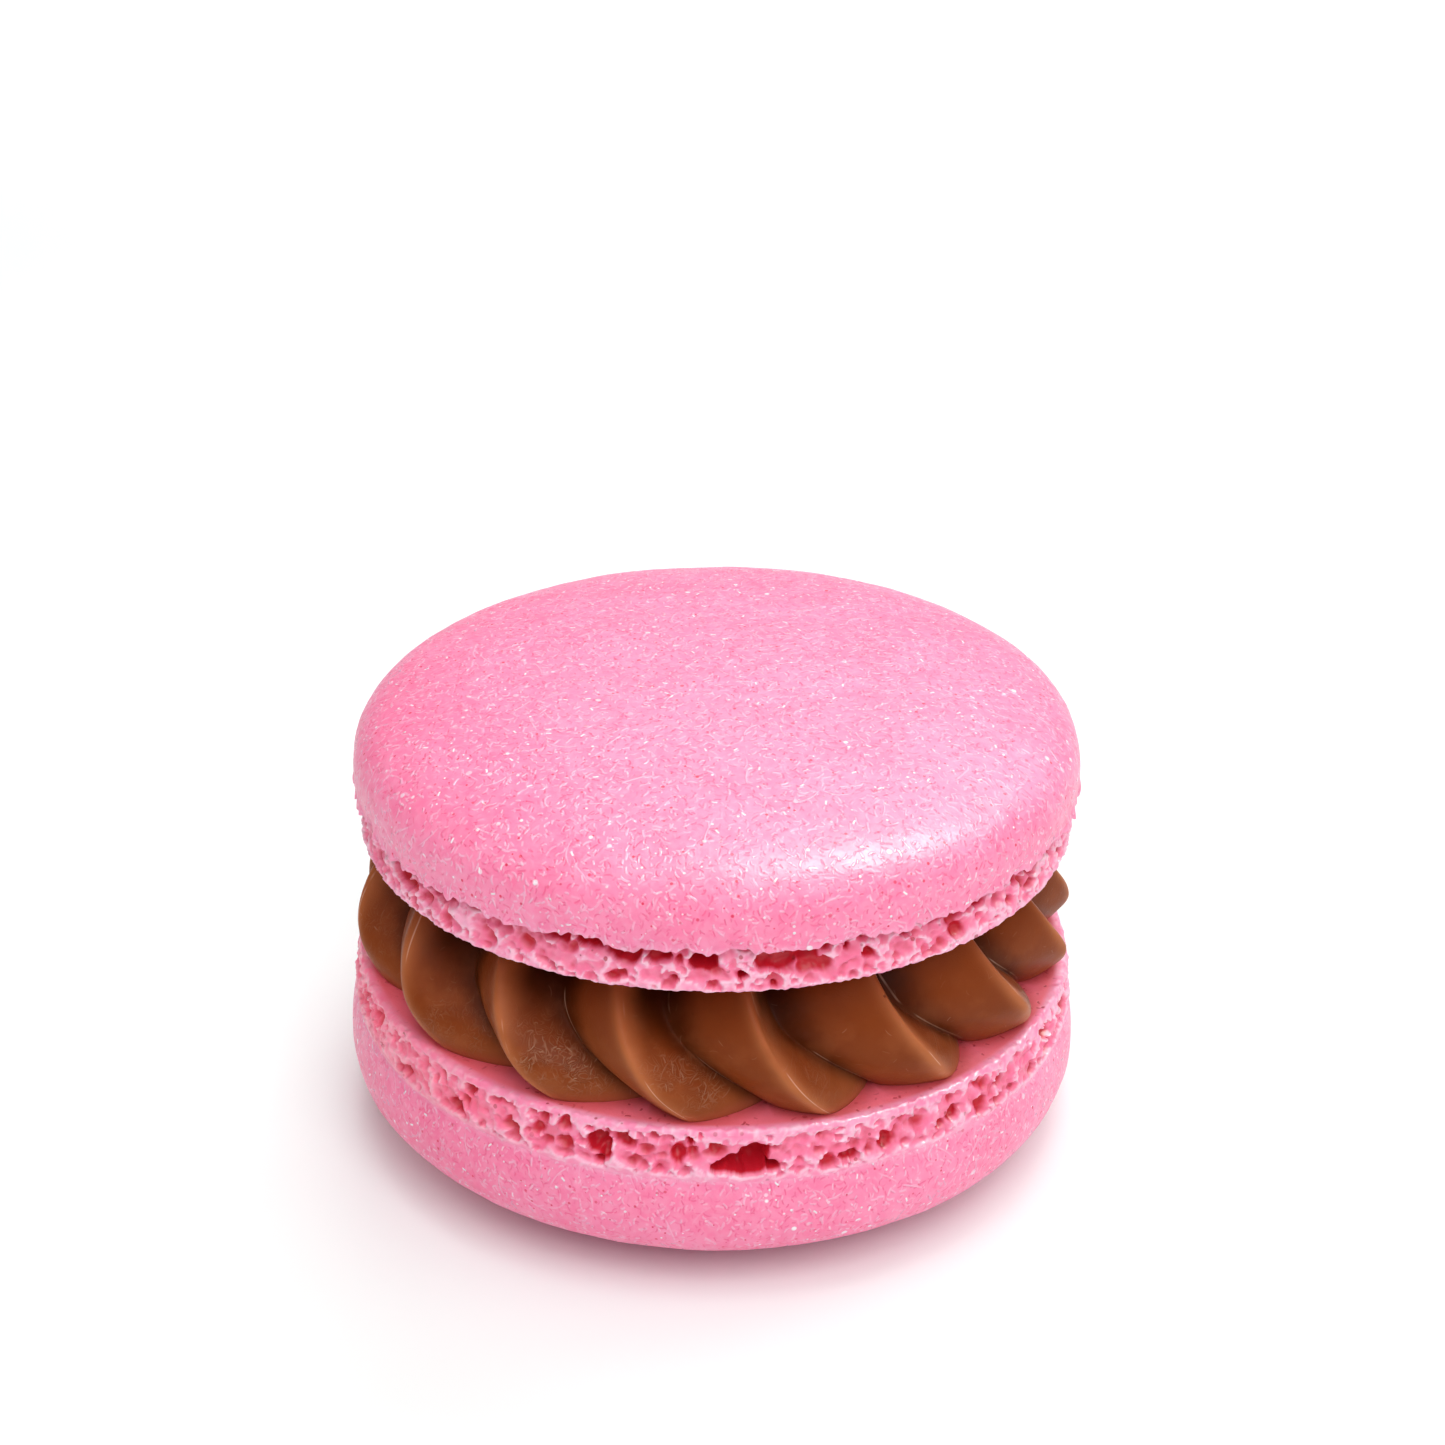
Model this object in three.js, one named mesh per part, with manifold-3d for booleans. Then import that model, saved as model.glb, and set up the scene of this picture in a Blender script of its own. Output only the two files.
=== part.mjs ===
// A french macaron: two domed almond-meringue shells with a piped chocolate rosette between them.
// Millimetres, +Z up. The origin is the middle of the flat spot that the macaron rests on, and its
// front faces -Y. Azimuths run from the front (0) towards +X.
import * as THREE from 'three';
import { mergeVertices } from 'three/addons/utils/BufferGeometryUtils.js';
import Module from 'manifold-3d';

// ---- Driving dimensions -------------------------------------------------------------------------

// Each shell is given with its dome outwards. "rise" is measured from the widest circle towards the
// dome, and the crust's edge, the foot and the flat face lie on the other side of that circle.
const UPPER = {
  facing: 1, // dome upwards
  centreX: 0.32,
  widestZ: 25.05,
  widestRadius: 23.1,
  domeRise: 6.03,
  domeFullness: 2.4, // exponents of the dome's superellipse: across, then along the axis
  domeCrown: 3.14,
  edgeRadius: 23.1, // the torn lower edge of the crust
  edgeDrop: 0.66,
  rimRadius: 22.82, // where the foot meets the flat face
  flatDrop: 3.75,
  tiltDeg: 0.19,
  lipLap: 0.5, // how far the crust's edge stands out over the top of the foot
  lipTear: 0.32, // how raggedly that edge hangs down
  unevenness: 0.11,
  cavities: 15,
  seed: 11,
};
const LOWER = {
  facing: -1, // dome downwards
  centreX: 0,
  widestZ: 6.0,
  widestRadius: 24.05,
  domeRise: 6.2,
  domeFullness: 2.69,
  domeCrown: 2.78,
  edgeRadius: 23.6,
  edgeDrop: 2.69,
  rimRadius: 23.3,
  flatDrop: 6.02,
  tiltDeg: 1.27,
  lipLap: 0.3,
  lipTear: 0.06,
  unevenness: 0.09,
  cavities: 17,
  seed: 23,
};
const SHELL_SEGMENTS = 108;
const DOME_ROWS = 8;
const DOME_EASE = 1.5; // sets the dome's rows closer together towards its widest circle
const FOOT_ROWS = 5;
const FOOT_BULGE = 0.25; // the foot's middle against a straight line from crust to rim
const RIM_ROUND = 0.3;
const SETTLED = 0.25; // how far the lower dome is pressed flat where it rests

// The foot's crumb: shallow bubbles are relief in its face, and the large ones are cut out of it.
const BUBBLES = { count: 110, radius: [0.7, 1.5], depth: 0.5 };
const CAVITY = { halfWidth: [0.7, 1.9], halfHeight: [0.45, 0.9], depth: [0.8, 1.6], leanDeg: 30 };
const LARGEST_CAVITY = { azimuthDeg: 3.5, halfWidth: 2.0, halfHeight: 1.0, depth: 2.3, drop: 1.5 };
const CAVITY_MARGIN = 0.3; // crumb left between a cavity and the crust or the flat face

// The rosette: ridges that lean over to the right on their way down. The gaps between the front
// ridges are uneven by hand, and the others share what is left of the circle.
const FILLING_CENTRE_X = 0.16;
const RIDGES = 17;
const FIRST_RIDGE_DEG = -72.7;
const FRONT_GAPS_DEG = [24.7, 22.6, 21.7, 21.3, 21.8, 21.0, 18.9, 16.1];
const BACK_GAP_SPREAD = 0.12;
const SWIRL_DEG = { turn: -23.0, easing: 10.1 }; // a ridge's azimuth over its height
const CREST = { widest: 23.48, at: 0.28, tuck: 1.1, lean: 4.09, leanPower: 1.6 };
const GROOVE = { radius: 19.97, swell: 5.55, lean: 11.88 };
// How far right of its crest a groove lies, as a share of the gap: a cubic over the filling's height,
// with a shift of its own for each of the front ridges.
const GROOVE_SHARE = { foot: 0.578, rise: -0.245, curve: -2.216, twist: 2.746, least: 0.12, most: 0.88 };
const FRONT_GROOVE_SHIFTS = [0.0, 0.18, 0.1, 0.01, -0.11, -0.12];
// A ridge's steep flank has a belly low down and a hollow pocket under the upper shell.
const STEEP_FLANK = { belly: 1.45, flatter: 0.35, pocket: 1.4, from: 0.3, to: 0.75 };
const BROAD_FLANK = { foot: 0.49, rise: 2.24, curve: -2.04 }; // how hollow it is over the height
const RIDGE_STEPS = 6; // two over the steep flank of each ridge, four over its broad one
const STEEP_STEPS = 2;
const FILLING_ROWS = 11;
const FILLING_CLEARANCE = 0.3; // to the flat faces of both shells
const FILLING_SEED = 7;

// ---- Random draws and rounding ------------------------------------------------------------------

const radians = THREE.MathUtils.degToRad;
const { lerp } = THREE.MathUtils;

/** A repeatable source of numbers from 0 to 1. */
function seeded(seed) {
  let state = seed;
  return () => {
    state = (state + 0x6d2b79f5) | 0;
    let t = Math.imul(state ^ (state >>> 15), 1 | state);
    t = (t + Math.imul(t ^ (t >>> 7), 61 | t)) ^ t;
    return ((t ^ (t >>> 14)) >>> 0) / 4294967296;
  };
}

const between = (random, [low, high]) => lerp(low, high, random());

/** Uneven waves round the whole circle, from -1 to 1, that also drift with the height. */
function waves(random, slowest, fastest, count) {
  const parts = Array.from({ length: count }, () => ({
    turns: Math.round(lerp(slowest, fastest, random())),
    start: 2 * Math.PI * random(),
    drift: lerp(-1.2, 1.2, random()),
  }));
  return (azimuth, height) =>
    parts.reduce((sum, p) => sum + Math.sin(p.turns * azimuth + p.start + p.drift * height), 0) / count;
}

// ---- Solids -------------------------------------------------------------------------------------

/** Spins [radius, height, tag] rows round Z, and lets move(azimuth, radius, height, tag) displace
 *  every point; it returns the new [azimuth, radius, height]. */
function spun(rows, segments, move) {
  const geometry = new THREE.LatheGeometry(
    rows.map(([radius, height]) => new THREE.Vector2(radius, height)),
    segments,
  );
  const position = geometry.getAttribute('position');
  for (let i = 0; i < position.count; i += 1) {
    const segment = Math.floor(i / rows.length) % segments;
    const [radius, height, tag] = rows[i % rows.length];
    const [azimuth, r, z] = move((2 * Math.PI * segment) / segments, radius, height, tag);
    position.setXYZ(i, r * Math.sin(azimuth), -r * Math.cos(azimuth), z);
  }
  return closed(geometry);
}

/** Merges shared points and drops the slivers that collapse at the poles. */
function closed(geometry) {
  geometry.deleteAttribute('normal');
  geometry.deleteAttribute('uv');
  const merged = mergeVertices(geometry, 1e-4);
  const kept = [];
  const index = merged.index.array;
  for (let i = 0; i < index.length; i += 3) {
    const [a, b, c] = index.slice(i, i + 3);
    if (a !== b && b !== c && c !== a) kept.push(a, b, c);
  }
  merged.setIndex(kept);
  return merged;
}

const wasm = await Module();
wasm.setup();

const toManifold = (geometry) =>
  new wasm.Manifold(
    new wasm.Mesh({
      numProp: 3,
      vertProperties: new Float32Array(geometry.getAttribute('position').array),
      triVerts: new Uint32Array(geometry.index.array),
    }),
  );

function fromManifold(solid) {
  const mesh = solid.getMesh();
  const geometry = new THREE.BufferGeometry();
  geometry.setAttribute('position', new THREE.BufferAttribute(mesh.vertProperties, 3));
  geometry.setIndex(new THREE.BufferAttribute(mesh.triVerts, 1));
  geometry.computeVertexNormals();
  return geometry;
}

// ---- A shell ------------------------------------------------------------------------------------

/** The profile of a shell as [radius, rise, tag] rows, from the dome's pole to the flat face. */
function shellProfile(shell) {
  const rows = [];
  for (let i = DOME_ROWS; i >= 0; i -= 1) {
    const t = (Math.PI / 2) * (i / DOME_ROWS) ** DOME_EASE;
    const radius = shell.widestRadius * Math.cos(t) ** (2 / shell.domeFullness);
    const rise = shell.domeRise * Math.sin(t) ** (2 / shell.domeCrown);
    rows.push([i === DOME_ROWS ? 0 : radius, rise, 'crust']);
  }
  rows.push([shell.edgeRadius, -shell.edgeDrop, 'lip']);
  const footTop = shell.edgeRadius - shell.lipLap;
  for (let i = 0; i <= FOOT_ROWS; i += 1) {
    const v = i / FOOT_ROWS;
    const radius = lerp(footTop, shell.rimRadius, v) + FOOT_BULGE * Math.sin(Math.PI * v);
    const drop = lerp(shell.edgeDrop, shell.flatDrop - RIM_ROUND, v);
    rows.push([radius, -drop, i === 0 ? 'lip' : 'foot']);
  }
  rows.push([shell.rimRadius - RIM_ROUND, -shell.flatDrop, 'flat']);
  rows.push([0, -shell.flatDrop, 'flat']);
  return rows;
}

/** Dents of seeded bubbles: the depth at an azimuth and a share v of the foot's height. */
function bubbleField(random, shell) {
  const footHeight = shell.flatDrop - shell.edgeDrop;
  const bubbles = Array.from({ length: BUBBLES.count }, () => ({
    azimuth: 2 * Math.PI * random(),
    drop: shell.edgeDrop + footHeight * random(),
    radius: between(random, BUBBLES.radius),
  }));
  return (azimuth, drop) => {
    let depth = 0;
    for (const bubble of bubbles) {
      const turn = Math.atan2(Math.sin(azimuth - bubble.azimuth), Math.cos(azimuth - bubble.azimuth));
      const away = Math.hypot(turn * shell.edgeRadius, drop - bubble.drop) / bubble.radius;
      if (away < 1) depth = Math.max(depth, BUBBLES.depth * Math.sqrt(1 - away * away));
    }
    return depth;
  };
}

/** One torn bubble as a closed ellipsoid, centred on the foot's face; lean turns it in that face. */
function cavity(shell, azimuth, drop, [halfWidth, depth, halfHeight], lean = 0) {
  const geometry = new THREE.IcosahedronGeometry(1, 1);
  geometry.scale(halfWidth, depth, halfHeight);
  geometry.rotateY(lean);
  geometry.translate(0, -shell.rimRadius, -drop);
  geometry.rotateZ(azimuth);
  return toManifold(closed(geometry));
}

/** The large cavities round the foot: spread by a rule, uneven by seeded draws. */
function cavities(random, shell) {
  const footTop = shell.edgeDrop + CAVITY_MARGIN;
  const footBottom = shell.flatDrop - CAVITY_MARGIN;
  const made = [];
  for (let i = 1; i < shell.cavities; i += 1) {
    const azimuth = (2 * Math.PI * (i + lerp(-0.3, 0.3, random()))) / shell.cavities;
    const halfHeight = between(random, CAVITY.halfHeight);
    const drop = lerp(footTop + halfHeight, footBottom - halfHeight, random());
    const size = [lerp(...CAVITY.halfWidth, random() ** 2), between(random, CAVITY.depth), halfHeight];
    made.push(cavity(shell, azimuth, drop, size, radians(lerp(-1, 1, random()) * CAVITY.leanDeg)));
  }
  return made;
}

function largestCavity(shell) {
  const { azimuthDeg, drop, halfWidth, halfHeight, depth } = LARGEST_CAVITY;
  const azimuth = shell.facing * radians(azimuthDeg);
  return cavity(shell, azimuth, shell.edgeDrop + drop, [halfWidth, depth, halfHeight]);
}

/** Height of a shell's flat face at x, so that the filling can follow its tilt. */
function flatFaceZ(shell, x) {
  const flat = shell.widestZ - shell.facing * shell.flatDrop;
  return flat - Math.tan(radians(shell.tiltDeg)) * (x - shell.centreX);
}

function shellGeometry(shell, extraCuts = []) {
  const random = seeded(shell.seed);
  const lump = waves(random, 2, 9, 5);
  const tear = waves(random, 11, 45, 7);
  const dent = bubbleField(random, shell);
  const move = (azimuth, radius, rise, tag) => {
    if (tag === 'flat') return [azimuth, radius, rise];
    const outward = shell.unevenness * lump(azimuth, rise / 3) * (radius / shell.widestRadius);
    if (tag === 'crust') return [azimuth, radius + outward, rise + outward];
    if (tag === 'lip') return [azimuth, radius + outward, rise + shell.lipTear * tear(azimuth, 0)];
    return [azimuth, radius + outward - dent(azimuth, -rise), rise];
  };
  let solid = toManifold(spun(shellProfile(shell).reverse(), SHELL_SEGMENTS, move));
  for (const cut of [...cavities(random, shell), ...extraCuts]) solid = solid.subtract(cut);
  const geometry = fromManifold(solid);
  if (shell.facing < 0) geometry.rotateY(Math.PI);
  geometry.rotateY(radians(shell.tiltDeg));
  geometry.translate(shell.centreX, 0, shell.widestZ);
  return geometry;
}

/** Presses the underside flat where it meets the surface that the macaron stands on. */
function restFlat(geometry) {
  const position = geometry.getAttribute('position');
  for (let i = 0; i < position.count; i += 1) {
    const z = position.getZ(i);
    if (z < 2 * SETTLED) position.setZ(i, Math.max(0, 2 * (z - SETTLED)));
  }
  return geometry;
}

// ---- The filling --------------------------------------------------------------------------------

/** Azimuth of each ridge at its foot, and the gap to the next ridge, in degrees. */
function ridgeLayout() {
  const random = seeded(FILLING_SEED);
  const frontSpan = FRONT_GAPS_DEG.reduce((sum, gap) => sum + gap, 0);
  const shares = Array.from({ length: RIDGES - FRONT_GAPS_DEG.length }, () =>
    lerp(1 - BACK_GAP_SPREAD, 1 + BACK_GAP_SPREAD, random()),
  );
  const whole = shares.reduce((sum, share) => sum + share, 0);
  const gaps = [...FRONT_GAPS_DEG, ...shares.map((share) => ((360 - frontSpan) * share) / whole)];
  let azimuth = FIRST_RIDGE_DEG;
  return gaps.map((gap) => {
    const ridge = { azimuth, gap };
    azimuth += gap;
    return ridge;
  });
}

/** Radius of the crests at a share s of the height: tucked in below, leaning in above. */
function crestRadius(s) {
  const { widest, at, tuck, lean, leanPower } = CREST;
  if (s < at) return widest - tuck * ((at - s) / at) ** 2;
  return widest - lean * ((s - at) / (1 - at)) ** leanPower;
}

const grooveRadius = (s) => GROOVE.radius + GROOVE.swell * s - GROOVE.lean * s * s;

/** Where a ridge's groove lies between its crest (0) and the next one (1) at a share s of the height. */
function grooveShare(ridge, s) {
  const { foot, rise, curve, twist, least, most } = GROOVE_SHARE;
  const share = foot + rise * s + curve * s ** 2 + twist * s ** 3 + (FRONT_GROOVE_SHIFTS[ridge] ?? 0);
  return THREE.MathUtils.clamp(share, least, most);
}

/** How far out the steep flank stands, from 1 at its crest (share 0) to 0 in its groove (share 1). */
function steepFullness(share, s) {
  const { belly, flatter, pocket, from, to } = STEEP_FLANK;
  const hollowed = THREE.MathUtils.smoothstep(s, from, to);
  return (1 - share ** (belly - flatter * hollowed)) ** (1 + pocket * hollowed);
}

/** How far out the broad flank stands, from 0 in its groove (share 0) to 1 at the next crest. */
const broadFullness = (share, s) =>
  share ** (BROAD_FLANK.foot + BROAD_FLANK.rise * s + BROAD_FLANK.curve * s * s);

/** A point of the swirl: step counts round the circle, and s runs up the filling. */
function swirlPoint(ridges, step, s) {
  const ridge = Math.floor(step / RIDGE_STEPS);
  const { azimuth, gap } = ridges[ridge];
  const phase = step % RIDGE_STEPS;
  const groove = grooveShare(ridge, s);
  const steep = phase <= STEEP_STEPS;
  const share = steep ? phase / STEEP_STEPS : (phase - STEEP_STEPS) / (RIDGE_STEPS - STEEP_STEPS);
  const across = steep ? groove * share : lerp(groove, 1, share);
  const fullness = steep ? steepFullness(share, s) : broadFullness(share, s);
  const turned = azimuth + gap * across + SWIRL_DEG.turn * s + SWIRL_DEG.easing * s * s;
  return { azimuth: radians(turned), radius: lerp(grooveRadius(s), crestRadius(s), fullness) };
}

function fillingGeometry() {
  const ridges = ridgeLayout();
  const steps = RIDGES * RIDGE_STEPS;
  const rows = [[0, 0, 'centre']];
  for (let i = 0; i <= FILLING_ROWS; i += 1) rows.push([1, i / FILLING_ROWS, 'swirl']);
  rows.push([0, 1, 'centre']);
  const heightAt = (x, s) =>
    lerp(flatFaceZ(LOWER, x) + FILLING_CLEARANCE, flatFaceZ(UPPER, x) - FILLING_CLEARANCE, s);
  const geometry = spun(rows, steps, (spread, _radius, s, tag) => {
    if (tag === 'centre') return [0, 0, heightAt(FILLING_CENTRE_X, s)];
    const step = Math.round((spread / (2 * Math.PI)) * steps) % steps;
    const { azimuth, radius } = swirlPoint(ridges, step, s);
    return [azimuth, radius, heightAt(FILLING_CENTRE_X + radius * Math.sin(azimuth), s)];
  });
  return geometry.translate(FILLING_CENTRE_X, 0, 0);
}

// ---- Materials and the finished macaron ---------------------------------------------------------

const crust = () => new THREE.MeshStandardMaterial({ color: '#f28cbe', roughness: 0.55, metalness: 0 });
const chocolate = () =>
  new THREE.MeshStandardMaterial({ color: '#82451f', roughness: 0.45, metalness: 0 });

function named(name, geometry, material) {
  const mesh = new THREE.Mesh(geometry, material);
  mesh.name = name;
  return mesh;
}

const macaron = new THREE.Group();
macaron.add(
  named('lower_shell', restFlat(shellGeometry(LOWER, [largestCavity(LOWER)])), crust()),
  named('filling', fillingGeometry(), chocolate()),
  named('upper_shell', shellGeometry(UPPER), crust()),
);

export default macaron;
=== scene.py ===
"""A french macaron: two pink meringue shells with porous feet, and a piped chocolate rosette between."""

import itertools
import math
from dataclasses import dataclass, field

import bmesh
import bpy
import numpy as np
from mathutils import Matrix, Vector


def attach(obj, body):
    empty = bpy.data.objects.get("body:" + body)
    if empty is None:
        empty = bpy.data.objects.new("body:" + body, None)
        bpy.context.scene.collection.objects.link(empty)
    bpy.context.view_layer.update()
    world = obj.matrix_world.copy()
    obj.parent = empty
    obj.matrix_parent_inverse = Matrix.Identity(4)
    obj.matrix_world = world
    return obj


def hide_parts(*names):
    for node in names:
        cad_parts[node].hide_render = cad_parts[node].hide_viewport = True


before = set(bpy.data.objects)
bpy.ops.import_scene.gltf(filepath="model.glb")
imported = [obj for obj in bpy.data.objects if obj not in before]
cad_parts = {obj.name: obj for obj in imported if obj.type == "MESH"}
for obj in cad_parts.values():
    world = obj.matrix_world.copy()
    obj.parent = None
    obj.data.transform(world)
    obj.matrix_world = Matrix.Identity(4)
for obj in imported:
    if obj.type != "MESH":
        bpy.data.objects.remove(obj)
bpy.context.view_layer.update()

# ---- Sizes, in millimetres ----------------------------------------------------------------------
# A shell is made with its dome upwards: heights are measured from its widest circle, and the crust's
# edge, the foot and the flat face lie below that circle. Azimuths run from the front (-Y) to +X.

TO_METRES = 0.001
TURN = 2 * math.pi


@dataclass
class Hollow:
    """A large torn bubble that shows in a foot: its place, and the size of its mouth."""

    azimuth_deg: float
    drop: float  # below the crust's edge
    width: float
    height: float
    depth: float


@dataclass
class Shell:
    name: str
    facing: int
    centre_x: float
    widest_z: float
    widest_radius: float
    dome_rise: float
    dome_fullness: float
    dome_crown: float
    edge_radius: float
    edge_drop: float
    rim_radius: float
    flat_drop: float
    tilt_deg: float
    lip_lap: float  # how far the crust's edge stands out over the foot
    lip_tear: float  # how raggedly that edge ends
    lip_thickness: float
    first_bubble: float  # drop below which the crumb's bubbles lie
    solid_rim: float  # height of the close crumb along the flat face
    flush: float  # painted shade: how much deeper the pink is made towards the left side (-X), where less light falls
    lip_gaps: int  # torn openings under the crust's edge, besides the hollows at the front
    seed: int
    hollows: list = field(default_factory=list)

    @property
    def foot_height(self):
        return self.flat_drop - self.edge_drop


UPPER = Shell(
    name="upper", facing=1, centre_x=0.32, widest_z=25.05, widest_radius=23.1,
    dome_rise=6.03, dome_fullness=2.4, dome_crown=3.14, edge_radius=23.1, edge_drop=0.66,
    rim_radius=22.82, flat_drop=3.75, tilt_deg=0.19, lip_lap=1.0, lip_tear=0.5,
    lip_thickness=0.15, first_bubble=-0.5, solid_rim=0.05, flush=0.08, lip_gaps=38, seed=11,
    hollows=[
        Hollow(-18.5, 0.48, 1.9, 0.95, 1.3),
        Hollow(-13.6, 0.80, 2.2, 1.40, 1.3),
        Hollow(-15.2, 2.50, 0.8, 0.50, 0.7),
        Hollow(-7.4, 0.80, 0.9, 0.75, 1.3),
        Hollow(-6.4, 2.40, 0.6, 0.60, 0.7),
        Hollow(-5.5, 1.05, 0.55, 0.75, 0.7),
        Hollow(-1.9, 1.10, 1.7, 1.20, 1.8),
        Hollow(-0.6, 2.60, 0.8, 0.45, 0.6),
        Hollow(3.6, 2.10, 0.65, 0.65, 1.2),
        Hollow(8.1, 2.75, 0.6, 0.55, 0.8),
        Hollow(8.5, 1.20, 2.6, 1.20, 1.0),
        Hollow(14.4, 1.60, 2.2, 1.20, 0.8),
        Hollow(19.5, 0.90, 0.55, 0.40, 0.9),
        Hollow(22.9, 1.60, 1.0, 0.70, 0.9),
    ],
)
LOWER = Shell(
    name="lower", facing=-1, centre_x=0.0, widest_z=6.0, widest_radius=24.05,
    dome_rise=6.2, dome_fullness=2.69, dome_crown=2.78, edge_radius=23.6, edge_drop=2.69,
    rim_radius=23.3, flat_drop=6.02, tilt_deg=1.27, lip_lap=0.08, lip_tear=0.03,
    lip_thickness=0.2, first_bubble=0.12, solid_rim=0.3, flush=0.6, lip_gaps=0, seed=23,
    hollows=[
        Hollow(1.0, 0.95, 1.0, 0.80, 1.6),
        Hollow(3.2, 1.15, 1.7, 1.55, 2.2),
        Hollow(5.8, 1.35, 1.9, 1.90, 2.4),
        Hollow(7.2, 1.86, 1.1, 1.30, 2.0),
        Hollow(8.6, 0.90, 0.8, 1.00, 1.8),
        Hollow(-16.8, 1.84, 1.4, 1.40, 1.5),
        Hollow(-15.7, 1.22, 0.85, 1.00, 1.2),
        Hollow(-16.8, 0.62, 0.85, 0.70, 0.9),
        Hollow(-13.1, 2.30, 1.1, 0.95, 0.9),
        Hollow(-11.4, 1.02, 1.0, 0.85, 0.6),
        Hollow(-9.4, 1.42, 1.0, 0.60, 0.4),
        Hollow(-8.7, 2.84, 0.6, 0.65, 0.6),
        Hollow(-6.8, 2.72, 0.9, 0.50, 0.4),
        Hollow(-7.1, 0.64, 0.5, 0.55, 0.35),
        Hollow(-5.1, 1.62, 0.85, 1.40, 0.9),
        Hollow(-4.1, 0.72, 0.8, 0.80, 0.45),
        Hollow(-3.6, 2.56, 0.5, 0.60, 0.8),
        Hollow(-1.9, 2.90, 0.4, 0.60, 0.5),
        Hollow(15.7, 2.62, 0.6, 0.50, 0.6),
        Hollow(16.5, 0.35, 0.66, 0.40, 0.4),
        Hollow(20.0, 0.88, 1.3, 0.90, 0.9),
        Hollow(-22.2, 2.90, 0.45, 0.70, 0.7),
        Hollow(-42.0, 0.85, 1.2, 0.90, 1.1),
    ],
)
FOOT_BULGE = 0.25
RIM_ROUND = 0.3
SETTLED = 0.25  # how far the lower dome is pressed flat where it rests
LEFT_SHADE_REACH = (6.0, 22.0)  # how far left of the middle the painted shade starts to deepen the pink, and is full
FULLY_DEEP = 1.6  # the depth at which a hollow has its darkest painted shade
CREAM_SHADOW_REACH = 1.6  # how far beyond the cream the painted shadow and brown bounce light reach on the flat face

CRUST_COLUMNS = 1180
FOOT_COLUMNS = 1360
BUBBLE_SORTS = (  # how many, their radius, and how deep their middle lies as a share of that radius
    (700, (0.34, 0.70), (-0.80, -0.45)),  # shallow cups with thin walls between
    (2000, (0.08, 0.15), (0.10, 0.75)),
    (950, (0.15, 0.30), (0.10, 0.75)),
    (150, (0.30, 0.48), (0.10, 0.75)),
    (28, (0.48, 0.70), (0.10, 0.75)),
)
BUBBLE_ROUNDS = 4  # each round opens the bubbles that touch what is already open
HOLLOW_LOBES = 1.7  # joined bubbles in a hollow that is as wide as it is high

# The rosette. A place s on a ridge runs from 0 at the lower shell to 1 at the upper one.
RIDGES = 17
CREST_RADIUS = 23.48  # where the crest stands out most, which is at CREST_WIDEST
CREST_WIDEST = 0.28
CREST_FOOT_IN = 1.1  # how much nearer to the axis the crest starts
CREST_TOP_IN = 4.09  # and how much nearer it ends
CREST_TOP_BEND = 1.6
CREST_WIDTH = 0.07  # of the gap between two crests, over which a crest is rounded
GROOVE_RADIUS = (19.97, 5.55, -11.88)  # in rising powers of s, as are the next two
GROOVE_SHARE = (0.578, -0.245, -2.216, 2.746)
BROAD_BEND = (0.49, 2.24, -2.04)  # under 1 a flank is full, over 1 it is hollow
BELLY_BEND = 1.45  # of the steep flank, over 1 full and under 1 hollow
POCKET_FLATTER = 0.35
POCKET_HOLLOW = 1.4
POCKET_RISE = (0.3, 0.75)  # the places s where the pocket starts, and is full
FROST_RISE, FROST_SPREAD = 0.27, 0.15  # the middle of the frosted stretch of s
FILLING_CENTRE_X = 0.16
FIRST_RIDGE_DEG = -72.7
FRONT_GAPS_DEG = [24.7, 22.6, 21.7, 21.3, 21.8, 21.0, 18.9, 16.1]
FRONT_GROOVE_SHIFTS = [0.0, 0.18, 0.10, 0.01, -0.11, -0.12]
FRONT_FROSTING = [0.2, 0.35, 1.0, 0.7, 0.15, 0.1]  # how clearly each ridge's belly is frosted, with strokes that are partly painted highlight
SWIRL_TURN_DEG = -23.0
SWIRL_EASING_DEG = 10.1
RIDGE_COLUMNS = 64
STEEP_SHARE = 0.375  # of a ridge's columns, over its steep flank
FILLING_ROWS = 72
SUNK_BELOW = 0.06  # how far the filling sinks into the shells
SUNK_ABOVE = 0.25
FILLING_SEED = 7


# ---- Noise and seeded draws ---------------------------------------------------------------------

def smoothstep(low, high, x):
    t = np.clip((x - low) / (high - low), 0.0, 1.0)
    return t * t * (3 - 2 * t)


def scattered(cells, seed, salt):
    """A repeatable value from -1 to 1 for each whole-numbered cell."""
    h = cells[:, 0] * 73856093 ^ cells[:, 1] * 19349663 ^ cells[:, 2] * 83492791
    h = (h ^ (seed * 7919 + salt * 104729)) & 0xFFFFFFFF
    h = ((h ^ (h >> 16)) * 0x45D9F3B) & 0xFFFFFFFF
    h = ((h ^ (h >> 16)) * 0x45D9F3B) & 0xFFFFFFFF
    return ((h ^ (h >> 16)) & 0xFFFF) / 32767.5 - 1.0


def noise(points, size, seed):
    """Smooth gradient noise, about -1 to 1, whose lumps are about `size` across."""
    place = points / size
    cell = np.floor(place).astype(np.int64)
    part = place - cell
    fade = part**3 * (part * (part * 6 - 15) + 10)
    total = np.zeros(len(points))
    for corner in itertools.product((0, 1), repeat=3):
        step = np.array(corner)
        weight = np.prod(np.where(step, fade, 1 - fade), axis=1)
        slope = sum(
            scattered(cell + step, seed, axis) * (part[:, axis] - step[axis]) for axis in range(3)
        )
        total += weight * slope
    return total * 1.4


def cusps(points, size, seed):
    """Noise that rises to sharp ridges, 1 along them and about -0.5 between."""
    return 1 - 3 * np.abs(noise(points, size, seed))


# ---- Forms that go round the axis ---------------------------------------------------------------

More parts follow.
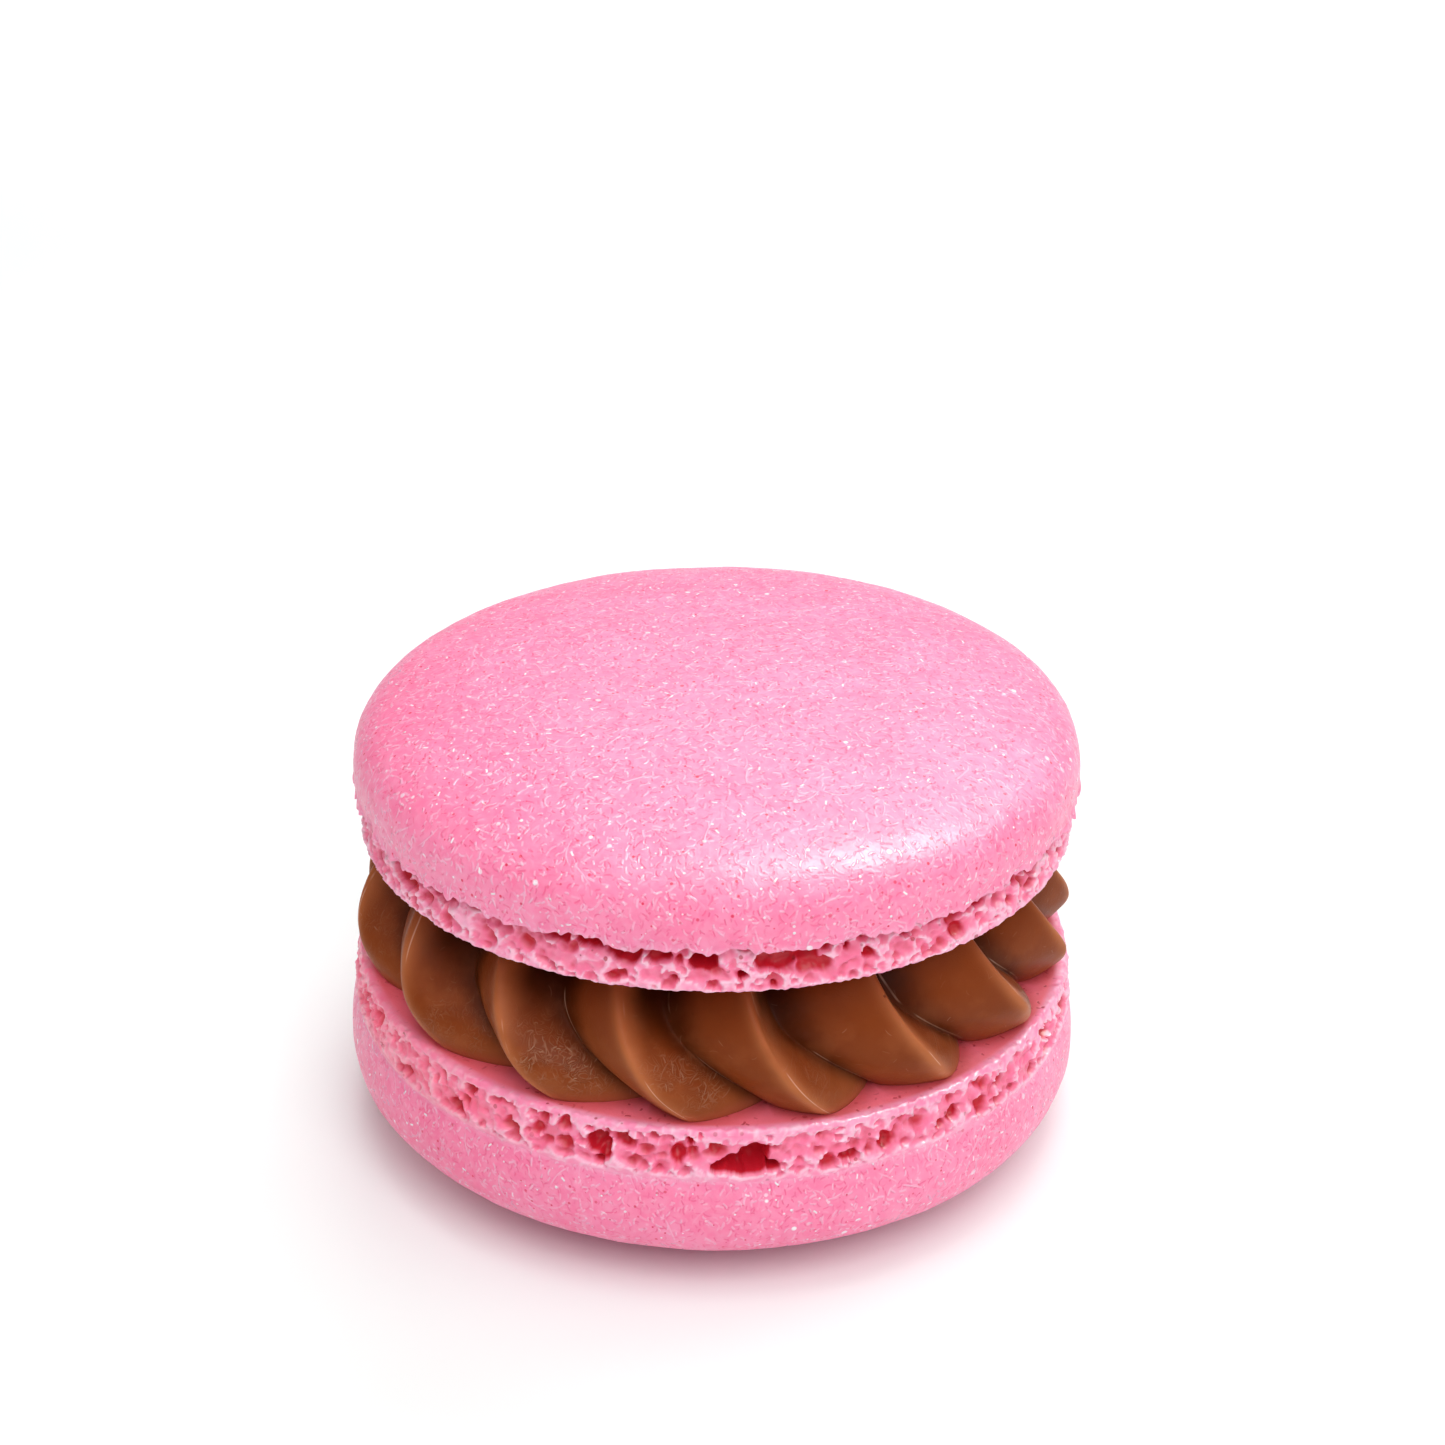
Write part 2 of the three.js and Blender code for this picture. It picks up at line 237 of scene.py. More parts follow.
class Turned:
    """A closed form in millimetres: a row for each point of a profile, a column for each azimuth."""

    def __init__(self, name, profile, columns):
        line = np.array(profile)
        self.name = name
        self.rows, self.columns = len(line), columns
        self.azimuth = np.tile(np.arange(columns) * TURN / columns - math.pi, self.rows)
        self.set_round(np.repeat(line[:, 0], columns), self.azimuth, np.repeat(line[:, 1], columns))
        self.kept = {}

    def set_round(self, radius, azimuth, height, centre_x=0.0):
        x, y = radius * np.sin(azimuth) + centre_x, -radius * np.cos(azimuth)
        self.points = np.stack([x, y, height], axis=1)

    @property
    def radius(self):
        return np.hypot(self.points[:, 0], self.points[:, 1])

    def as_grid(self, values):
        return values.reshape(self.rows, self.columns, -1)

    def outwards(self):
        """Unit normals, for a profile that runs down from the top of the form."""
        grid = self.as_grid(self.points)
        along = np.roll(grid, -1, axis=1) - np.roll(grid, 1, axis=1)
        normal = np.cross(np.gradient(grid, axis=0), along).reshape(-1, 3)
        return normal / np.maximum(np.linalg.norm(normal, axis=1), 1e-9)[:, None]

    def softened(self, values, passes, along_rows_only=False):
        """The values blurred over their neighbours."""
        grid = self.as_grid(values)
        for _ in range(passes):
            grid = (np.roll(grid, 1, axis=1) + 2 * grid + np.roll(grid, -1, axis=1)) / 4
            if not along_rows_only:
                above = np.concatenate([grid[:1], grid[:-1]])
                below = np.concatenate([grid[1:], grid[-1:]])
                grid = (above + 2 * grid + below) / 4
        return grid.ravel()

    def move_out(self, amount):
        """Moves every point straight away from the axis, or towards it where amount is negative."""
        away = self.points[:, :2] / np.maximum(self.radius, 1e-6)[:, None]
        self.points[:, :2] += away * np.asarray(amount)[:, None]

    def unrolled(self):
        """A flat place in metres for every point: as far from the pole as the profile runs there."""
        grid = self.as_grid(self.points)
        steps = np.linalg.norm(np.diff(grid, axis=0), axis=2).mean(axis=1)
        run = np.repeat(np.concatenate([[0], np.cumsum(steps)]), self.columns) * TO_METRES
        return np.stack([run * np.sin(self.azimuth), -run * np.cos(self.azimuth), 0 * run], axis=1)

    def place(self, matrix):
        turned = np.array(matrix.to_3x3())
        self.points = self.points @ turned.T + np.array(matrix.translation)

    def closed(self, values):
        """The values with the first column again after the last, as the rolled grid needs them."""
        grid = self.as_grid(values)
        return np.concatenate([grid, grid[:, :1]], axis=1).astype(np.float32).ravel()

    def finish(self, material, node, crease_deg=None):
        """Rolls a flat grid into the form, welds its seam and its poles, links the piece under the root
        and hides the model's part that it replaces.
        """
        bm = bmesh.new()
        bmesh.ops.create_grid(bm, x_segments=self.columns, y_segments=self.rows - 1, size=0.5)
        mesh = bpy.data.meshes.new(self.name)
        bm.to_mesh(mesh)
        mesh.vertices.foreach_set("co", self.closed(self.points * TO_METRES))
        for name, values in self.kept.items():
            flat = values.ndim == 1
            layer = mesh.attributes.new(name, "FLOAT" if flat else "FLOAT_VECTOR", "POINT")
            layer.data.foreach_set("value" if flat else "vector", self.closed(values))
        bm.clear()
        bm.from_mesh(mesh)
        bmesh.ops.remove_doubles(bm, verts=bm.verts, dist=1e-7)
        bmesh.ops.recalc_face_normals(bm, faces=bm.faces)
        bm.to_mesh(mesh)
        bm.free()
        mesh.shade_smooth()
        if crease_deg:
            mesh.set_sharp_from_angle(angle=math.radians(crease_deg))
        mesh.materials.append(material)
        piece = bpy.data.objects.new(self.name, mesh)
        bpy.context.scene.collection.objects.link(piece)
        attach(piece, "root")
        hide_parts(node)


def respaced(line, fine, coarse, growth):
    """The same line with its points `fine` apart at its end and up to `coarse` apart away from it."""
    line = np.array(line)
    run = np.concatenate([[0], np.cumsum(np.hypot(*np.diff(line, axis=0).T))])
    back = [0.0]
    while back[-1] < run[-1] - coarse:
        back.append(back[-1] + min(coarse, fine + growth * back[-1]))
    at = np.concatenate([[0], run[-1] - np.array(back[::-1])])
    return list(zip(np.interp(at, run, line[:, 0]), np.interp(at, run, line[:, 1])))


# ---- The shells ---------------------------------------------------------------------------------

def shell_place(shell):
    """Where a shell made dome up goes: turned over if it faces down, tilted and set at its height."""
    turn_over = Matrix.Rotation(math.pi if shell.facing < 0 else 0.0, 4, "Y")
    tilt = Matrix.Rotation(math.radians(shell.tilt_deg), 4, "Y")
    return Matrix.Translation((shell.centre_x, 0, shell.widest_z)) @ tilt @ turn_over


def left_shade_at(form, shell):
    """How much painted shade deepens the pink at each point of a shell's form that is in its place,
    towards the left side where less light falls.
    """
    return shell.flush * smoothstep(*LEFT_SHADE_REACH, -form.points[:, 0])


def crust_profile(shell):
    """Pole, dome, side, the thin edge, and the hidden underside back to the axis."""
    dome = [
        (
            shell.widest_radius * abs(math.cos(t)) ** (2 / shell.dome_fullness),
            shell.dome_rise * math.sin(t) ** (2 / shell.dome_crown),
        )
        for t in np.linspace(math.pi / 2, 0, 240)
    ]
    dome[0] = (0.0, shell.dome_rise)
    taper = shell.widest_radius - shell.edge_radius
    side = [(shell.widest_radius - taper * d * d, -shell.edge_drop * d) for d in np.linspace(0, 1, 12)]
    outside = respaced(dome + side[1:], fine=0.1, coarse=0.5, growth=0.06)
    radius, edge, thick = shell.edge_radius, -shell.edge_drop, shell.lip_thickness
    lip = [
        (radius - 0.15 * thick, edge - 0.30 * thick),
        (radius - 0.50 * thick, edge - 0.42 * thick),
        (radius - 0.85 * thick, edge - 0.30 * thick),
        (radius - 1.00 * thick, edge),
        (radius - 1.30 * thick, edge + 0.25),
        (radius - 2.60 * thick, edge + 0.45),
    ]
    inner = [(radius * share, edge + 0.5) for share in (0.9, 0.6, 0.3, 0.0)]
    return outside + lip + inner


def make_crust(shell, material):
    crust = Turned(f"{shell.name}_crust", crust_profile(shell), CRUST_COLUMNS)
    start = crust.points.copy()
    radius, height, seed = crust.radius, start[:, 2], shell.seed
    # The torn edge: scallops that meet in small points, over the last stretch of the crust's side.
    rim = smoothstep(shell.edge_radius - 1.2, shell.edge_radius - 0.5, radius)
    reach = rim * smoothstep(-shell.edge_drop + 0.9, -shell.edge_drop, height)
    ring = start * [1, 1, 0]
    ragged = 0.45 * cusps(ring, 2.6, seed) + 0.35 * cusps(ring, 1.1, seed + 1)
    torn = 0.20 * cusps(ring, 0.75, seed + 2) + 0.35 * noise(ring, 0.45, seed + 9)
    crust.points[:, 2] -= shell.lip_tear * (reach * (ragged - 0.1) + reach**3 * torn)
    crust.points[:, 2] -= 0.5 * shell.lip_tear * reach * noise(ring, 3.8, seed + 10)
    flare = 0.5 * noise(ring, 1.4, seed + 3) + 0.5 * reach * noise(ring, 0.6, seed + 8)
    crust.move_out(reach * shell.lip_tear * flare)
    # The unevenness of the whole, then the skin's small lumps.
    outer = smoothstep(-shell.edge_drop - 0.3, -shell.edge_drop, height)
    outer *= smoothstep(0.0, 0.35, radius / shell.edge_radius + height / shell.dome_rise)
    swell = 0.10 * noise(start, 11.0, seed + 4) + 0.05 * noise(start, 4.0, seed + 5)
    swell += 0.03 * noise(start, 1.6, seed + 6)
    crust.points += crust.outwards() * (outer * swell)[:, None]
    crust.kept = {"edge": reach, "skin": crust.unrolled()}
    crust.place(shell_place(shell))
    crust.kept["flush"] = left_shade_at(crust, shell)
    if shell.facing < 0:
        z = crust.points[:, 2]
        crust.points[:, 2] = np.where(z < 2 * SETTLED, np.maximum(0, 2 * (z - SETTLED)), z)
    crust.finish(material, f"{shell.name}_shell")


def foot_profile(shell):
    """Middle of the flat face, the rounded rim, the crumb's side, and the hidden top inside the crust."""
    flat, rim = -shell.flat_drop, shell.rim_radius
    face = [(radius, flat) for radius in (0.0, 9.0, 16.0, 18.0)]
    face += [(radius, flat) for radius in np.arange(19.0, rim - 1.0, 0.38)]
    face += [(radius, flat) for radius in np.arange(rim - 0.9, rim - RIM_ROUND, 0.15)]
    bend = [
        (rim - RIM_ROUND * (1 - math.sin(t)), flat + RIM_ROUND * (1 - math.cos(t)))
        for t in np.linspace(0.15, math.pi / 2, 5)
    ]
    top_radius = shell.edge_radius - shell.lip_lap
    top = -shell.edge_drop + 0.45
    side = []
    for v in np.linspace(1, 0, 60):
        radius = top_radius + (rim - top_radius) * v + FOOT_BULGE * math.sin(math.pi * v)
        side.append((radius, top + (flat + RIM_ROUND - top) * v))
    side = respaced(side, fine=0.088, coarse=0.088, growth=0.0)
    inner = [(top_radius * share, top + 0.1) for share in (0.97, 0.85, 0.5, 0.0)]
    return face + bend + side[1:] + inner


def lip_openings(shell):
    """Torn openings under the crust's edge, anywhere but at the front."""
    rng = np.random.RandomState(shell.seed + 500)
    after_front, before_front = 26.0, 338.0
    return [
        Hollow(
            azimuth_deg=rng.uniform(after_front, before_front), drop=rng.uniform(0.5, 0.85),
            width=rng.uniform(0.8, 2.3), height=rng.uniform(0.55, 0.95), depth=rng.uniform(0.7, 1.3),
        )
        for _ in range(shell.lip_gaps)
    ]


def crumb_bubbles(shell):
    """Rows of [azimuth, drop, radius, stretch, sink, deepness] for the bubbles that a foot shows.

    Sink is how deep the bubble's middle lies, and deepness how far it reaches in from there."""
    rng = np.random.RandomState(shell.seed)
    rows = []
    for count, sizes, sinks in BUBBLE_SORTS:
        azimuth = rng.uniform(-math.pi, math.pi, count)
        radius = rng.uniform(*sizes, count)
        highest = shell.first_bubble + radius
        lowest = shell.foot_height - shell.solid_rim - radius
        drop = highest + (lowest - highest) * rng.uniform(0, 1, count)
        stretch = rng.uniform(0.85, 1.4, count)
        sink = radius * rng.uniform(*sinks, count)
        rows += list(zip(azimuth, drop, radius, stretch, sink, radius * 1.1))
    for hollow in shell.hollows + lip_openings(shell):
        azimuth = math.radians(hollow.azimuth_deg) * shell.facing
        radius = hollow.height / 2
        lobes = max(1, round(HOLLOW_LOBES * hollow.width / hollow.height))
        spread = max(hollow.width - hollow.height, 0.0) / 2 / shell.edge_radius
        for i in range(lobes):
            along = 0.0 if lobes == 1 else 2 * i / (lobes - 1) - 1
            size = radius * rng.uniform(0.85, 1.1)
            lift = radius * rng.uniform(-0.2, 0.2)
            stretch = min(1.0, hollow.width / hollow.height)
            sink = 0.2 * hollow.depth
            rows.append(
                (azimuth + spread * along, hollow.drop + lift, size, stretch, sink, hollow.depth - sink)
            )
    return np.array(rows)


def torn_depth(foot, shell, across, drop):
    """How deep the joined bubbles reach in from each point of a foot, along the radius."""
    bubbles = crumb_bubbles(shell)
    once_round = TURN * shell.edge_radius
    across = foot.as_grid(across)[..., 0]
    drop = foot.as_grid(drop)[..., 0]
    depth = np.zeros_like(across)
    # Only the rows of the foot's side can hold bubbles.
    far_out = foot.as_grid(foot.radius).max(axis=(1, 2)) > shell.rim_radius - 0.6
    side = np.flatnonzero((drop.max(axis=1) > -0.9) & far_out)
    first, last = side.min(), side.max() + 1
    for _ in range(BUBBLE_ROUNDS):
        for azimuth, low, radius, stretch, sink, deepness in bubbles:
            middle = (azimuth + math.pi) / TURN * foot.columns
            half = (radius * stretch + 0.5) / once_round * foot.columns
            columns = np.arange(math.floor(middle - half), math.ceil(middle + half) + 1) % foot.columns
            aside = across[first:last, columns] - azimuth * shell.edge_radius
            aside = (aside + once_round / 2) % once_round - once_round / 2
            off = ((aside / stretch) ** 2 + (drop[first:last, columns] - low) ** 2) / radius**2
            half_chord = np.sqrt(np.maximum(1 - off, 0.0))
            now = depth[first:last, columns]
            # The mouth is where the bubble comes to the surface, or into what is already open.
            opens = (off < 1) & (sink - half_chord * max(deepness, sink * 1.15) <= now + 0.02)
            bottom = sink + half_chord * deepness
            depth[first:last, columns] = np.where(opens & (bottom > now), bottom, now)
    return depth.ravel()


def make_foot(shell, material, cream_edge):
    """The porous side and the flat face of a shell; cream_edge is where the filling meets that face."""
    foot = Turned(f"{shell.name}_foot", foot_profile(shell), FOOT_COLUMNS)
    start = foot.points.copy()
    seed = shell.seed + 40
    radius = foot.radius
    drop = -start[:, 2] - shell.edge_drop
    side = smoothstep(shell.rim_radius - 0.75, shell.rim_radius - 0.25, radius)
    wander = 0.20 * noise(start, 0.9, seed) + 0.12 * noise(start, 0.4, seed + 1)
    waver = 0.20 * noise(start, 0.9, seed + 2) + 0.12 * noise(start, 0.4, seed + 3)
    depth = torn_depth(foot, shell, foot.azimuth * shell.edge_radius + wander, drop + waver)
    height = shell.foot_height
    at_rim = smoothstep(height - shell.solid_rim - 0.15, height - 0.02, drop)
    depth *= side * (1 - 0.85 * at_rim)
    if shell.facing < 0:
        depth *= smoothstep(0.02, 0.16, drop)
    # Painted highlight: the ridges between the bubbles are made paler, where they stand out into the
    # light.
    lit_walls = np.clip((foot.softened(depth, 3) - depth) / 0.08, 0, 1) * (1 - smoothstep(0, 0.15, depth))
    depth = 0.5 * depth + 0.5 * foot.softened(depth, 1)
    near_edge = 1 - smoothstep(0.1, 0.5, drop) if shell.facing < 0 else 0.0
    knobs = 0.10 * noise(start, 1.3, seed + 4)
    folds = 0.5 * cusps(start, 0.9, seed + 5) + 0.5 * cusps(start, 0.5, seed + 10)
    grain = 0.03 * noise(start, 0.25, seed + 6)
    notches = 0.12 * np.minimum(noise(start, 0.55, seed + 9), 0) * at_rim
    even = (1 - 0.5 * at_rim) * (1 - 0.8 * near_edge)
    foot.move_out(side * ((knobs + 0.10 * folds + grain) * even + notches) - depth)
    ripples = 0.04 * noise(start, 3.0, seed + 7) + 0.02 * noise(start, 0.8, seed + 8)
    foot.points[:, 2] += smoothstep(height - 0.2, height, drop) * ripples
    teeth = 0.12 * noise(start, 0.4, seed + 11) * smoothstep(height - 0.35, height - 0.1, drop)
    foot.points[:, 2] += teeth * smoothstep(shell.rim_radius - 0.5, shell.rim_radius - 0.2, radius)
    # Painted highlight on the thin folded membranes, as on the ridges.
    membranes = smoothstep(0.45, 0.95, folds) * (1 - smoothstep(0.1, 0.4, depth))
    foot.kept = {
        "depth": np.clip(depth / FULLY_DEEP, 0, 1),
        "side": side,
        "wall": np.maximum(lit_walls, 0.8 * membranes) * side,
        "rim": smoothstep(shell.rim_radius - 0.9, shell.rim_radius - 0.2, radius),
        # painted shade under the overhanging crust's edge
        "under_lip": (1 - smoothstep(0.1, 0.6, drop)) * min(1.0, shell.lip_lap),
    }
    foot.place(shell_place(shell))
    foot.kept["flush"] = left_shade_at(foot, shell)
    # Painted shadow: the flat face is darker and browner close to the cream, for its contact shadow and
    # the brown light it throws back.
    around = np.arctan2(foot.points[:, 0], -foot.points[:, 1])
    beyond_cream = foot.radius - np.interp(around, *cream_edge, period=TURN)
    foot.kept["stain"] = (1 - smoothstep(0.0, CREAM_SHADOW_REACH, beyond_cream)) * (1 - side)
    foot.finish(material, f"{shell.name}_shell", crease_deg=55)


# ---- The filling --------------------------------------------------------------------------------

def ridge_layout():
    """Azimuths of the ridges at their feet, with the first one repeated a full turn on."""
    rng = np.random.RandomState(FILLING_SEED)
    behind = rng.uniform(0.88, 1.12, RIDGES - len(FRONT_GAPS_DEG))
    gaps = np.concatenate([FRONT_GAPS_DEG, behind / behind.sum() * (360 - sum(FRONT_GAPS_DEG))])
    return FIRST_RIDGE_DEG + np.concatenate([[0], np.cumsum(gaps)])


def in_powers(factors, s):
    return sum(factor * s**power for power, factor in enumerate(factors))


def crest_radius(s):
    below = CREST_FOOT_IN * (np.maximum(CREST_WIDEST - s, 0) / CREST_WIDEST) ** 2
    above = CREST_TOP_IN * (np.maximum(s - CREST_WIDEST, 0) / (1 - CREST_WIDEST)) ** CREST_TOP_BEND
    return CREST_RADIUS - below - above


def groove_share(s, ridge):
    """How far right of its crest a groove lies, as a share of the gap between two crests."""
    shift = np.zeros(RIDGES)
    shift[: len(FRONT_GROOVE_SHIFTS)] = FRONT_GROOVE_SHIFTS
    return np.clip(in_powers(GROOVE_SHARE, s) + shift[ridge], 0.12, 0.88)


def ridge_fullness(steep, down_steep, up_broad, s):
    """How far out each point lies, from 0 in a groove to 1 on a crest.

    The steep flank has a belly low down, which turns into a hollow pocket under the upper shell."""
    pocket = smoothstep(*POCKET_RISE, s)
    belly = 1 - np.clip(down_steep, 0, 1) ** (BELLY_BEND - POCKET_FLATTER * pocket)
    hollowed = belly ** (1 + POCKET_HOLLOW * pocket)
    return np.where(steep, hollowed, np.clip(up_broad, 0, 1) ** in_powers(BROAD_BEND, s))


def flat_face_z(shell, x):
    flat = shell.widest_z - shell.facing * shell.flat_drop
    return flat - math.tan(math.radians(shell.tilt_deg)) * (x - shell.centre_x)


def make_filling(material):
    """The piped rosette. Gives back where its foot's edge runs: the azimuths, and the radius at each."""
    wall = [(1.0, s) for s in np.linspace(0, 1, FILLING_ROWS)]
    cap = [(share, 0.0) for share in (0.0, 0.4, 0.8)]
    lid = [(share, 1.0) for share in (0.8, 0.4, 0.0)]
    filling = Turned("chocolate_filling", cap + wall + lid, RIDGES * RIDGE_COLUMNS)
    share_out = filling.radius.copy()
    s = filling.points[:, 2].copy()
    column = np.tile(np.arange(filling.columns), filling.rows)
    ridge = column // RIDGE_COLUMNS
    phase = (column % RIDGE_COLUMNS) / RIDGE_COLUMNS
    edges = ridge_layout()
    gap = np.diff(edges)[ridge]
    groove = groove_share(s, ridge)
    steep = phase < STEEP_SHARE
    down_steep = phase / STEEP_SHARE
    up_broad = (phase - STEEP_SHARE) / (1 - STEEP_SHARE)
    across = np.where(steep, groove * down_steep, groove + (1 - groove) * up_broad)
    to_crest = np.where(steep, groove * down_steep, (1 - groove) * (1 - up_broad))
    full = ridge_fullness(steep, down_steep, up_broad, s)
    crest = np.exp(-((to_crest / CREST_WIDTH) ** 2))
    full += crest * (filling.softened(full, 8, along_rows_only=True) - full)
    turned = np.radians(edges[ridge] + gap * across + SWIRL_TURN_DEG * s + SWIRL_EASING_DEG * s * s)
    innermost = in_powers(GROOVE_RADIUS, s)
    radius = innermost + (crest_radius(s) - innermost) * full
    filling.set_round(radius * share_out, turned, s, FILLING_CENTRE_X)
    x = filling.points[:, 0]
    low = flat_face_z(LOWER, x) - SUNK_BELOW
    high = flat_face_z(UPPER, x) + SUNK_ABOVE
    filling.points[:, 2] = low + (high - low) * s
    start = filling.points.copy()
    body = (share_out > 0.9) * smoothstep(0.0, 0.08, s)
    sag = 0.12 * noise(start, 5.0, FILLING_SEED) + 0.05 * noise(start, 2.2, FILLING_SEED + 1)
    filling.move_out(body * sag)
    strength = np.random.RandomState(FILLING_SEED + 1).uniform(0.1, 0.8, RIDGES)
    strength[: len(FRONT_FROSTING)] = FRONT_FROSTING
    on_belly = np.where(steep, np.sin(math.pi * np.clip(down_steep, 0, 1)), 0)
    at_frost = np.exp(-(((s - FROST_RISE) / FROST_SPREAD) ** 2))
    # Painted shade: darker into the grooves, more on the steep flank, and in the pockets under the upper
    # shell.
    dark = np.where(steep, smoothstep(0.1, 0.7, 1 - full), 0.9 * smoothstep(0.5, 1.0, 1 - full))
    filling.kept = {
        "crest": crest,
        "groove": 1 - full,
        "pocket": dark * smoothstep(0.35, 0.72, s),
        "frosting": on_belly * at_frost * strength[ridge],
        "rise": s,
        "by_crest": np.where(steep, to_crest, -to_crest),
        "by_groove": np.where(steep, down_steep - 1, up_broad),
        "skin": np.stack([turned * filling.radius, start[:, 2], 0 * s], axis=1) * TO_METRES,
    }
    foot = slice(len(cap) * filling.columns, (len(cap) + 1) * filling.columns)
    around = np.arctan2(filling.points[foot, 0], -filling.points[foot, 1])
    filling.finish(material, "filling")
    return around, filling.radius[foot]


# ---- Materials ----------------------------------------------------------------------------------

class Graph:
    """Places nodes in a shader tree and wires them up."""

    def __init__(self, tree):
        self.tree = tree

    def add(self, kind, inputs=None, **settings):
        node = self.tree.nodes.new(kind)
        for key, value in settings.items():
            setattr(node, key, value)
        for key, value in (inputs or {}).items():
            if isinstance(value, bpy.types.NodeSocket):
                self.link(value, node.inputs[key])
            else:
                node.inputs[key].default_value = value
        return node

    def link(self, output, socket):
        self.tree.links.new(output, socket)

    def math(self, operation, *values):
        return self.add("ShaderNodeMath", dict(enumerate(values)), operation=operation).outputs[0]

    def times(self, a, b):
        return self.math("MULTIPLY", a, b)

    def plus(self, a, b):
        return self.math("ADD", a, b)

    def minus(self, a, b):
        return self.math("SUBTRACT", a, b)

    def most(self, a, b):
        return self.math("MAXIMUM", a, b)

    def ramp(self, value, low, high, start=0.0, end=1.0):
        """Maps low..high to start..end smoothly and holds it there."""
        node = self.add(
            "ShaderNodeMapRange",
            {"Value": value, "From Min": low, "From Max": high, "To Min": start, "To Max": end},
            interpolation_type="SMOOTHSTEP",
        )
        return node.outputs["Result"]

    def mix(self, factor, a, b):
        return self.add("ShaderNodeMix", {0: factor, 6: a, 7: b}, data_type="RGBA").outputs[2]

    def noise(self, coords, scale, detail=2.0, distortion=0.0):
        node = self.add(
            "ShaderNodeTexNoise",
            {"Vector": coords, "Scale": scale, "Detail": detail, "Distortion": distortion},
        )
        return node.outputs["Fac"]


def new_group(name, inputs, outputs):
    """A shader node group with float or vector inputs and float outputs."""
    tree = bpy.data.node_groups.new(name, "ShaderNodeTree")
    for key, (kind, value) in inputs.items():
        socket = tree.interface.new_socket(key, in_out="INPUT", socket_type=kind)
        if value is not None:
            socket.default_value = value
    for key in outputs:
        tree.interface.new_socket(key, in_out="OUTPUT", socket_type="NodeSocketFloat")
    graph = Graph(tree)
    return tree, graph, graph.add("NodeGroupInput").outputs, graph.add("NodeGroupOutput").inputs


FLOAT = "NodeSocketFloat"
VECTOR = "NodeSocketVector"


def curly_strands_group():
    """Short curved strands that run side by side: contour lines of a soft noise, broken up."""
    tree, graph, given, result = new_group(
        "curly_strands",
        {"Vector": (VECTOR, None), "Scale": (FLOAT, 500.0), "Lines": (FLOAT, 6.0), "Cover": (FLOAT, 0.5)},
        ["Height"],
    )
    soft = graph.noise(given["Vector"], given["Scale"], detail=1.0, distortion=0.7)
    lines = graph.times(soft, given["Lines"])
    wave = graph.math("PINGPONG", lines, 0.5)
    crest = graph.ramp(wave, 0.25, 0.5)
    patch_scale = graph.times(given["Scale"], 1.9)
    patches = graph.noise(given["Vector"], patch_scale, detail=2.0)
    least = graph.minus(0.75, graph.times(given["Cover"], 0.5))
    shown = graph.ramp(patches, graph.minus(least, 0.05), graph.plus(least, 0.05))
    graph.link(graph.times(crest, shown), result["Height"])
    return tree


def flecks_group():
    """Small round dots scattered at random: only some cells of a Voronoi pattern hold one."""
    tree, graph, given, result = new_group(
        "flecks",
        {"Vector": (VECTOR, None), "Scale": (FLOAT, 1500.0), "Size": (FLOAT, 0.2), "Share": (FLOAT, 0.2)},
        ["Mask"],
    )
    cells = graph.add(
        "ShaderNodeTexVoronoi",
        {"Vector": given["Vector"], "Scale": given["Scale"]},
        feature="F1",
    )
    lot = graph.add("ShaderNodeSeparateColor", {"Color": cells.outputs["Color"]})
    size = graph.times(given["Size"], graph.ramp(lot.outputs[1], 0.0, 1.0, 0.6, 1.15))
    inner = graph.times(size, 0.6)
    dot = graph.ramp(cells.outputs["Distance"], inner, size, 1.0, 0.0)
    chosen = graph.math("LESS_THAN", lot.outputs[0], given["Share"])
    strength = graph.times(chosen, graph.ramp(lot.outputs[2], 0.0, 1.0, 0.4, 1.0))
    graph.link(graph.times(dot, strength), result["Mask"])
    return tree


def short_strokes_group():
    """Short bent strokes that lie every way in the vector's XY plane, one to a cell at most.

    Share says how many of them show. Half of those are faint, and only a few are at full strength."""
    tree, graph, given, result = new_group(
        "short_strokes",
        {
            "Vector": (VECTOR, None), "Shift": (FLOAT, 0.0), "Scale": (FLOAT, 1000.0),
            "Length": (FLOAT, 0.0004), "Width": (FLOAT, 0.00006), "Bend": (FLOAT, 1500.0),
            "Share": (FLOAT, 0.7),
        },
        ["Mask"],
    )
    shifted = graph.add(
        "ShaderNodeVectorMath", {0: given["Vector"], 1: given["Shift"]}, operation="ADD"
    ).outputs[0]
    cells = graph.add(
        "ShaderNodeTexVoronoi", {"Vector": shifted, "Scale": given["Scale"]},
        feature="F1", voronoi_dimensions="2D",
    )
    lot = graph.add("ShaderNodeSeparateColor", {"Color": cells.outputs["Color"]}).outputs
    away = graph.add(
        "ShaderNodeVectorMath", {0: shifted, 1: cells.outputs["Position"]}, operation="SUBTRACT"
    ).outputs[0]
    turned = graph.add(
        "ShaderNodeVectorRotate", {"Vector": away, "Angle": graph.times(lot[0], TURN)},
        rotation_type="Z_AXIS",
    )
    part = graph.add("ShaderNodeSeparateXYZ", {"Vector": turned.outputs[0]}).outputs
    lean = graph.times(graph.minus(lot[1], 0.5), given["Bend"])
    bow = graph.times(graph.times(part[0], part[0]), lean)
    aside = graph.math("ABSOLUTE", graph.minus(part[1], bow))
    thin = graph.times(given["Width"], 0.35)
    across = graph.ramp(aside, thin, given["Width"], 1.0, 0.0)
    full = graph.times(given["Length"], 0.5)
    along = graph.ramp(graph.math("ABSOLUTE", part[0]), full, given["Length"], 1.0, 0.0)
    least = graph.minus(1.0, given["Share"])
    strength = graph.ramp(lot[2], least, 1.0)
    mask = graph.times(graph.times(across, along), strength)
    graph.link(mask, result["Mask"])
    return tree


STRANDS = curly_strands_group()
FLECKS = flecks_group()
STROKES = short_strokes_group()


def placed(graph, group, output, **inputs):
    return graph.add("ShaderNodeGroup", inputs, node_tree=group).outputs[output]


